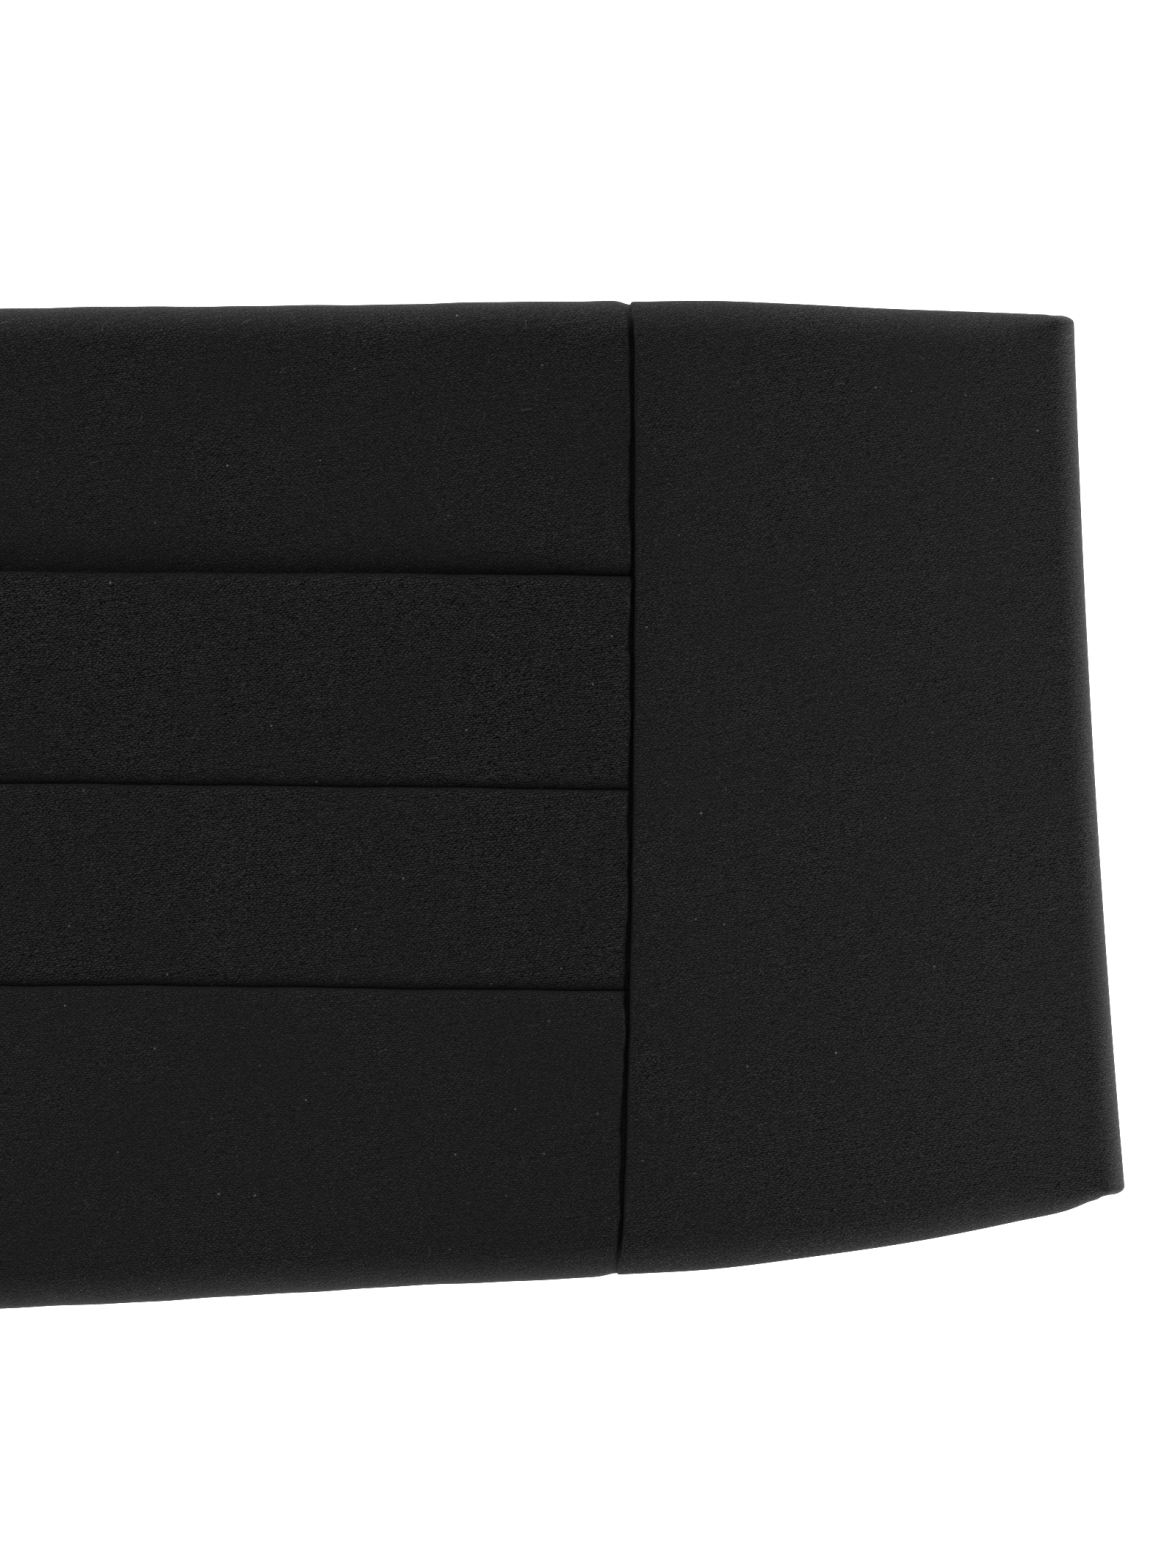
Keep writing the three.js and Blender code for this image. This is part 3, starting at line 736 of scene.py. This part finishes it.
def cloth_strip(name, number, line_y, line_depth):
    """The strip's wall: the middle line moved half a thickness to each side, lowered along the seams
    by press * exp(-(distance / run) ** 2), and laid on the arch."""
    slope_y, slope_depth = np.gradient(line_y, axis=1), np.gradient(line_depth, axis=1)
    step = np.hypot(slope_y, slope_depth)
    out_y, out_depth = slope_depth / step, -slope_y / step
    half = PLEAT_CLOTH / 2
    y = np.concatenate([line_y + half * out_y, (line_y - half * out_y)[:, ::-1]], 1)
    depth = np.concatenate([line_depth + half * out_depth, (line_depth - half * out_depth)[:, ::-1]], 1)
    x = STRIP_STATIONS[:, None] * (seam_x(y) + SEAM_TUCK)
    from_seam = np.maximum(seam_x(y) - np.abs(x), 0)
    top_end, bottom_end = (FRONT_HEIGHT * FRONT_ROWS[column][-1] for column in ("top", "bottom"))
    from_end = np.minimum(top_end - y, y - bottom_end)
    uneven = wobble(UNEVEN_STRETCH * y, UNEVEN_SEED) / WOBBLE
    press_run = SEAM_PRESS_RUN * (1 + SEAM_UNEVEN * uneven)
    press = SEAM_PRESS_END + (SEAM_PRESS - SEAM_PRESS_END) * ease(from_end, *SEAM_ENDS)
    depth = depth * (1 - press * np.exp(-((from_seam / press_run) ** 2)))
    travel = travelled(line_y, line_depth)
    travel_back = number * STRIP_SPACING + np.concatenate([travel, travel[:, ::-1]], 1)
    flat = np.stack([x, -travel_back], -1)
    rings = lay_on_front(x, y, depth)
    piece = make_piece(name + "_cloth", rings, flat, pleat_cloths[number], [name])
    return piece


# %% [markdown]
# The uppermost strip starts at the rolled top edge and the next two at a fold, and all three end in a
# pocket. The lowest starts at a fold and ends at the rolled bottom edge.

# %% The four strips
PLAIN_FACE_STEPS = 44
folds = {number: edge(f"fold{number}", STRIP_STATIONS) for number in (2, 3, 4)}
levels = {number: fold_sizes(number) for number in (2, 3, 4)}

top_hem = hem(edge("top", STRIP_STATIONS), 1, TOP_ROLL)
top_face = face_to_pocket(top_hem[0][:, -1], top_hem[1][:, -1:], folds[2], levels[2])
pieces = [cloth_strip("pleat_1_top", 1, *join(top_hem, top_face))]
for number in (2, 3):
    head = folded_head(folds[number], levels[number])
    face = face_to_pocket(head[0][:, -1], FACE_MIDDLE, folds[number + 1], levels[number + 1])
    pieces.append(cloth_strip(f"pleat_{number}", number, *join(head, face)))
head = folded_head(folds[4], levels[4])
bottom_hem = [line[:, ::-1] for line in hem(edge("bottom", STRIP_STATIONS), -1, BOTTOM_ROLL)]
face_y = spread(head[0][:, -1], bottom_hem[0][:, 0], PLAIN_FACE_STEPS)
face_share = np.linspace(0, 1, PLAIN_FACE_STEPS)
face_depth = FACE_MIDDLE + (bottom_hem[1][:, :1] - FACE_MIDDLE) * face_share
pieces.append(cloth_strip("pleat_4_bottom", 4, *join(head, (face_y, face_depth), bottom_hem)))

# %% [markdown]
# ## The side panels
#
# Beyond each seam a plain panel goes on round the side to the back. It is cloth turned in along its
# edges over a stiff core, so it is a soft-edged slab: its face rolls down to the top and bottom edges,
# and it stands a little higher at the seam, where it covers the ends of the pleats. One ring of points
# is carried from the seam, over the side fold and along the table to the tip.

# %% Sections of the panel
PANEL_ROLL_TOP, PANEL_ROLL_BOTTOM = 4.6, 5.0
PRESSED_ROLL = 1  # round the side fold and behind
ROLL_ENDS = 0.8, 1.1  # where along the panel the rolls narrow
PANEL_EDGE = 0.55  # radius under the rolled edge
ROLL_STEPS, ACROSS_STEPS = 16, 50  # points along a rolled edge, and across the face between the two


def panel_ring(along, top, bottom, wall):
    """A section of the panel at every station: its face with a wide quarter ellipse at each edge,
    and its back with a tight one, at the same places across. A tight one takes at most a third of
    the wall."""
    angle = np.linspace(0, np.pi / 2, ROLL_STEPS)
    pressed = ease(along, *ROLL_ENDS)
    top_roll = PANEL_ROLL_TOP + (PRESSED_ROLL - PANEL_ROLL_TOP) * pressed
    bottom_roll = PANEL_ROLL_BOTTOM + (PRESSED_ROLL - PANEL_ROLL_BOTTOM) * pressed
    upper = (top - top_roll)[:, None] + top_roll[:, None] * np.cos(angle)
    lower = (bottom + bottom_roll)[:, None] - bottom_roll[:, None] * np.sin(angle)
    middle = spread(top - top_roll, bottom + bottom_roll, ACROSS_STEPS)
    y = np.concatenate([upper, middle[:, 1:-1], lower], 1)
    rise = np.concatenate([np.sin(angle), np.ones(ACROSS_STEPS - 2), np.cos(angle)])
    thin = np.minimum(PANEL_EDGE, wall / 3)[:, None]
    face = thin + (wall[:, None] - thin) * rise
    to_edge = np.minimum(top[:, None] - y, y - bottom[:, None])
    from_edge = np.minimum(to_edge, thin)
    back = thin - np.sqrt(np.maximum(thin**2 - (thin - from_edge) ** 2, 0))
    bent = droop(to_edge) * (1 - pressed)[:, None]
    return np.concatenate([y, y[:, ::-1]], 1), np.concatenate([face - bent, (back - bent)[:, ::-1]], 1)


# %% [markdown]
# The weave has to keep its size round the rolled edges and the side fold, where the panel bends both
# ways. So a point's place on the flat cloth is measured along the bent surface, for the face and the
# back apart.

# %% The panel laid flat


def unrolled(y, depth):
    """Each point's place across the flat cloth: its distance along the section from the section's
    middle point, upwards."""
    travel = travelled(y, depth)
    middle = y.shape[1] // 2
    upwards = np.sign(y[:, -1:] - y[:, :1])
    return y[:, middle : middle + 1] + upwards * (travel - travel[:, middle : middle + 1])


def along_cloth(rings):
    """Each station's distance along the cloth from the seam, measured at the middle point."""
    middle = rings[:, rings.shape[1] // 2]
    return np.concatenate([[0], np.cumsum(np.linalg.norm(np.diff(middle, axis=0), axis=1))])


def flat_place(rings, y, depth):
    """Along and across the flat cloth, for every point of one side of the panel."""
    return np.stack([along_cloth(rings)[:, None] + 0 * y, unrolled(y, depth)], -1)


# %% [markdown]
# At the seam the panel's edge is turned in, so the slab starts thin there and reaches its full height
# over a small round. Its stations crowd where that happens.

# %% The two side panels
PANEL_CORNER = 0.4  # radius of the corners at the seam
SEAM_ROLL = 0.4  # radius of the turned edge
SEAM_EDGE = 0.5  # share of the wall right at it
SEAM_LIFT, SEAM_LIFT_RUN = 1.2, 12  # how much higher the panel stands there, and over what run
NEAR_SEAM = 0, 0.04, 0.12, 0.25, 0.45, 0.7, 1.0, 1.5, 2.2, 3.2  # the first stations
FRONT_STATIONS, TURN_STATIONS, WING_STATIONS = 44, 30, 60  # to the side fold, round it and behind


def quarter_round(distance, radius):
    """A quarter circle's height as a share of its radius: 0 at its start, 1 from the radius on."""
    return np.sqrt(1 - (1 - np.minimum(distance / radius, 1)) ** 2)


def side_panel(name, side):
    """The panel on one side, 1 right or -1 left. It stands higher near the seam by
    SEAM_LIFT * exp(-(distance / SEAM_LIFT_RUN) ** 2)."""
    near_seam = np.array(NEAR_SEAM) / SIDE_LENGTH
    along = np.concatenate(
        [
            near_seam,
            np.linspace(near_seam[-1], 1, FRONT_STATIONS)[1:],
            np.linspace(1, 2, TURN_STATIONS)[1:],
            np.linspace(2, 3, WING_STATIONS)[1:],
        ]
    )
    on_side, on_wing = np.minimum(along, 2), np.maximum(along - 2, 0)
    top, bottom = (FRONT_HEIGHT * read(SIDE_ROWS, column, on_side) for column in ("top", "bottom"))
    top = top + (STRAP_HEIGHT + WING_TIP - top) * read(WING_ROWS, "top", on_wing)
    bottom = bottom + (STRAP_HEIGHT - WING_TIP - bottom) * read(WING_ROWS, "bottom", on_wing)
    from_seam = along * SIDE_LENGTH
    corner = PANEL_CORNER * (1 - quarter_round(from_seam, PANEL_CORNER))
    top, bottom = top - corner, bottom + corner
    rolled = quarter_round(from_seam, SEAM_ROLL)
    y, depth = panel_ring(along, top, bottom, SIDE_WALL * (SEAM_EDGE + (1 - SEAM_EDGE) * rolled))
    depth = depth + (SEAM_LIFT * np.exp(-((from_seam / SEAM_LIFT_RUN) ** 2)) * (along < 1))[:, None]
    rings = lay_on_side(along[:, None] + 0 * y, y, depth)
    half = y.shape[1] // 2
    sides = slice(None, half), slice(half, None)
    flat = np.concatenate([flat_place(rings[:, part], y[:, part], depth[:, part]) for part in sides], 1)
    flat[..., 0] *= side
    rings[..., 0] *= side
    piece = make_piece(name + "_cloth", rings, flat, panel_cloth, [name])
    return piece


pieces += [side_panel("side_panel_right", 1), side_panel("side_panel_left", -1)]

# %% [markdown]
# ## The back straps
#
# A woven strap is sewn to each tip. It comes down to the table, passes under the clasp's end bar, turns
# up round it through the slot and comes back on to itself. It is a flat oval section carried along
# that line.

# %% Strap surface
BAR, SLOT, PLATE = 3.6, 4.2, 1.8  # the clasp's bars and slots across, and its thickness
STRAP_LAP, STRAP_FOLD_BACK, STRAP_DROP_RUN = 12, 14, 8
STRAP_EDGE = 0.04  # half of the thickness that is left at the very edges
LAP_STEPS, DROP_STEPS, TABLE_STEPS, BEND_STEPS, BAR_STEPS, BACK_STEPS = 14, 24, 50, 26, 8, 16
EDGE_STEPS, WIDTH_STEPS = 7, 22  # points round an edge of the section, and across it


def level_stretch(start, end, height, steps):
    """A level stretch of the strap's line, as x and height."""
    return np.linspace(start, end, steps), np.full(steps, height)


def easing_stretch(start, way, height, next_height):
    """A stretch that eases from one height to the next with a cosine, 1 to the right or -1 left."""
    share = np.linspace(0, 1, DROP_STEPS)
    eased = (1 - np.cos(np.pi * share)) / 2
    return start + way * STRAP_DROP_RUN * share, height + (next_height - height) * eased


def strap_line():
    """Middle line of the right strap from above its lap on the panel, down to the table, round the
    clasp's bar and back to its sewn-down end, as x and height."""
    half = STRAP_WALL / 2
    lap = SIDE_WALL + CLEARANCE + half
    bar_inside = BAR / 2 + SLOT
    bar_outside = bar_inside + BAR
    centre = STRAP_WALL + CLEARANCE + PLATE / 2
    radius = PLATE / 2 + CLEARANCE + half
    over_bar = centre + radius
    folded = STRAP_WALL + CLEARANCE + half
    drop_start = TIP_X - CLEARANCE
    drop_end = drop_start - STRAP_DROP_RUN
    back_start = bar_outside + CLEARANCE
    back_end = back_start + STRAP_DROP_RUN
    angle = np.linspace(-np.pi / 2, -3 * np.pi / 2, BEND_STEPS)
    return join(
        level_stretch(TIP_X + STRAP_LAP, drop_start, lap, LAP_STEPS),
        easing_stretch(drop_start, -1, lap, half),
        level_stretch(drop_end, bar_inside, half, TABLE_STEPS),
        (bar_inside + radius * np.cos(angle), centre + radius * np.sin(angle)),
        level_stretch(bar_inside, back_start, over_bar, BAR_STEPS),
        easing_stretch(back_start, 1, over_bar, folded),
        level_stretch(back_end, back_end + STRAP_FOLD_BACK, folded, BACK_STEPS),
    )


def strap_section():
    """Half of the strap's section as y and half thickness: a slab with half round edges."""
    half = STRAP_WALL / 2
    angle = np.linspace(np.pi, np.pi / 2, EDGE_STEPS)
    edge_y = -STRAP_WIDTH / 2 + half + half * np.cos(angle)
    y = np.concatenate([edge_y, np.linspace(edge_y[-1], -edge_y[-1], WIDTH_STEPS)[1:-1], -edge_y[::-1]])
    from_edge = np.minimum(STRAP_WIDTH / 2 - np.abs(y), half)
    return y, np.maximum(np.sqrt(half**2 - (half - from_edge) ** 2), STRAP_EDGE)


def strap(name, side, material):
    """The strap on one side: its section at each point of its line, square to it."""
    x, z = strap_line()
    slope_x, slope_z = np.gradient(x), np.gradient(z)
    length = np.hypot(slope_x, slope_z)
    section_y, section_half = strap_section()
    y = np.concatenate([section_y, section_y[::-1]])
    out = np.concatenate([section_half, -section_half[::-1]])
    rings = np.stack(
        [
            x[:, None] + out * (slope_z / length)[:, None],
            STRAP_HEIGHT + y + 0 * x[:, None],
            z[:, None] - out * (slope_x / length)[:, None],
        ],
        -1,
    )
    travel = travelled(x, z)
    flat = np.stack([travel[:, None] + 0 * y, y + 0 * travel[:, None]], -1)
    rings[..., 0] *= side
    return make_piece(name + "_webbing", rings, flat, material, [name])


# %% [markdown]
# The webbing is the weave again, with long narrow floats across the strap, so that it shows ribs. The
# clasp is a small metal plate in satin black enamel: nearly smooth, with the fine ripple that painters
# call orange peel, and slow smudges that change its gloss.

# %% Strap and clasp materials
WEBBING_WEAVE = {"Row": 0.0009, "Float": 0.0005, "Shift": 0.5, "Lean": 0.0, "Unevenness": 0.25}
WEBBING_DARK, WEBBING_LIGHT = (0.005, 0.005, 0.0051, 1), (0.11, 0.11, 0.112, 1)
WEBBING_BUMP = {"Strength": 0.8, "Distance": 0.00014}
WEBBING_GLOSS = {"Roughness": 0.6, "Specular IOR Level": 0.25}
PEEL_NOISE = {"Scale": 1400.0, "Detail": 2.0}
SMUDGE_NOISE = {"Scale": 160.0, "Detail": 3.0}
SMOOTHEST, SMUDGED = 0.26, 0.2  # the enamel's least roughness, and what smudges add at most
ENAMEL_BUMP = {"Strength": 0.25, "Distance": 0.00003}
ENAMEL_BLACK = (0.02, 0.02, 0.021, 1)


def webbing_material():
    """Ribbed black webbing."""
    material, tree, shader = new_material("strap_webbing")
    flat = add(tree, "UVMap", uv_map="cloth").outputs[0]
    turned = add(tree, "Mapping", {"Vector": flat, "Rotation": (0, 0, np.radians(90))}).outputs[0]
    weave = use(tree, WEAVE, {"Vector": turned, **WEBBING_WEAVE})
    black = mix(tree, weave["Shade"], WEBBING_DARK, WEBBING_LIGHT)
    bump = add(tree, "Bump", {"Height": weave["Height"], **WEBBING_BUMP}).outputs[0]
    fill(tree, shader, {"Base Color": black, "Normal": bump, **WEBBING_GLOSS})
    return material


def enamel_material():
    """Satin black enamel."""
    material, tree, shader = new_material("clasp_enamel")
    place = add(tree, "TexCoord").outputs["Object"]
    peel = add(tree, "TexNoise", {"Vector": place, **PEEL_NOISE}).outputs[0]
    smudge = add(tree, "TexNoise", {"Vector": place, **SMUDGE_NOISE}).outputs[0]
    rough = calc(tree, "ADD", calc(tree, "MULTIPLY", smudge, SMUDGED), SMOOTHEST)
    bump = add(tree, "Bump", {"Height": peel, **ENAMEL_BUMP}).outputs[0]
    fill(tree, shader, {"Base Color": ENAMEL_BLACK, "Roughness": rough, "Normal": bump})
    return material


webbing = webbing_material()
pieces += [strap("back_strap_right", 1, webbing), strap("back_strap_left", -1, webbing)]
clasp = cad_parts["back_clasp"]
clasp.data.materials.clear()
clasp.data.materials.append(enamel_material())
print("pieces made here:", len(pieces), "and the packed clasp in enamel")

# %% [markdown]
# ## Table, light and camera
#
# The picture is a plain product shot: white all round, without a shadow. A white card lit by strong
# lamps would do it, but then the black cloth is lit too hard. So the table is pale and also gives light
# itself, as a light table does, which keeps it white and brightens the rims that turn towards it.

# %% Table
TABLE_SIZE = 6.0  # m
TABLE_DROP = 0.00005  # m, keeps it clear of the cloth that lies on it
TABLE_SURFACE = {
    "Base Color": grey(0.86),
    "Roughness": 0.9,
    "Specular IOR Level": 0.1,
    "Emission Color": grey(1),
    "Emission Strength": 3.5,
}


def pale_table():
    """A square table top in plain off-white that gives light."""
    mesh = bpy.data.meshes.new("table_top")
    corners = (-1, -1), (1, -1), (1, 1), (-1, 1)
    points = [(x * TABLE_SIZE / 2, y * TABLE_SIZE / 2, -TABLE_DROP) for x, y in corners]
    mesh.from_pydata(points, [], [(0, 1, 2, 3)])
    material, tree, shader = new_material("table_white")
    fill(tree, shader, TABLE_SURFACE)
    mesh.materials.append(material)
    top = bpy.data.objects.new("table_top", mesh)
    bpy.context.scene.collection.objects.link(top)


pale_table()
print("table", TABLE_SIZE, "m wide, just under the cloth")

# %% [markdown]
# From above comes little light: a dim, even sky, and one very soft lamp beyond the top edge. It shines
# down the pleats, so every fold stays light on its top and leaves a soft shade in the pocket above.

# %% Light
SKY = 0.25
KEY = 0.41
KEY_ELEVATION, KEY_HEADING, KEY_SPREAD = 50, 95, 40  # degrees; the heading from +X towards +Y

world = bpy.data.worlds.new("white_studio")
world.use_nodes = True
fill(world.node_tree, world.node_tree.nodes["Background"], {"Color": grey(1), "Strength": SKY})
bpy.context.scene.world = world
key = bpy.data.objects.new("key_light", bpy.data.lights.new("key_light", "SUN"))
key.data.energy = KEY
key.data.angle = np.radians(KEY_SPREAD)
key.rotation_euler = (np.radians(90 - KEY_ELEVATION), 0, np.radians(90 + KEY_HEADING))
bpy.context.scene.collection.objects.link(key)
bpy.context.scene.view_settings.view_transform = "Standard"
bpy.context.scene.view_settings.look = "None"
print("sky", SKY, "and key light", KEY, "at", KEY_ELEVATION, "degrees up")

# %% [markdown]
# The camera looks straight down from far away through a long lens, so that nothing leans outwards. The
# left half of the cummerbund lies outside the picture, as in the photograph.

# %% Camera
PICTURE_HEIGHT = 196.7  # mm that the picture's long side covers, at the height of the pleats
PICTURE_MIDDLE = 150.55, 3.55  # mm
PLEAT_LEVEL = 15  # mm above the table
LENS, SENSOR = 1000, 36  # mm
FARTHEST = 100  # m that the camera still sees

camera = bpy.data.objects.new("camera", bpy.data.cameras.new("camera"))
bpy.context.scene.collection.objects.link(camera)
camera.data.lens = LENS
camera.data.sensor_width = SENSOR
distance = PICTURE_HEIGHT * LENS / SENSOR
camera.location = Vector((*PICTURE_MIDDLE, PLEAT_LEVEL + distance)) * MM
camera.data.clip_end = FARTHEST
bpy.context.scene.camera = camera
print("camera above", PICTURE_MIDDLE, "mm, at", round(distance), "mm")
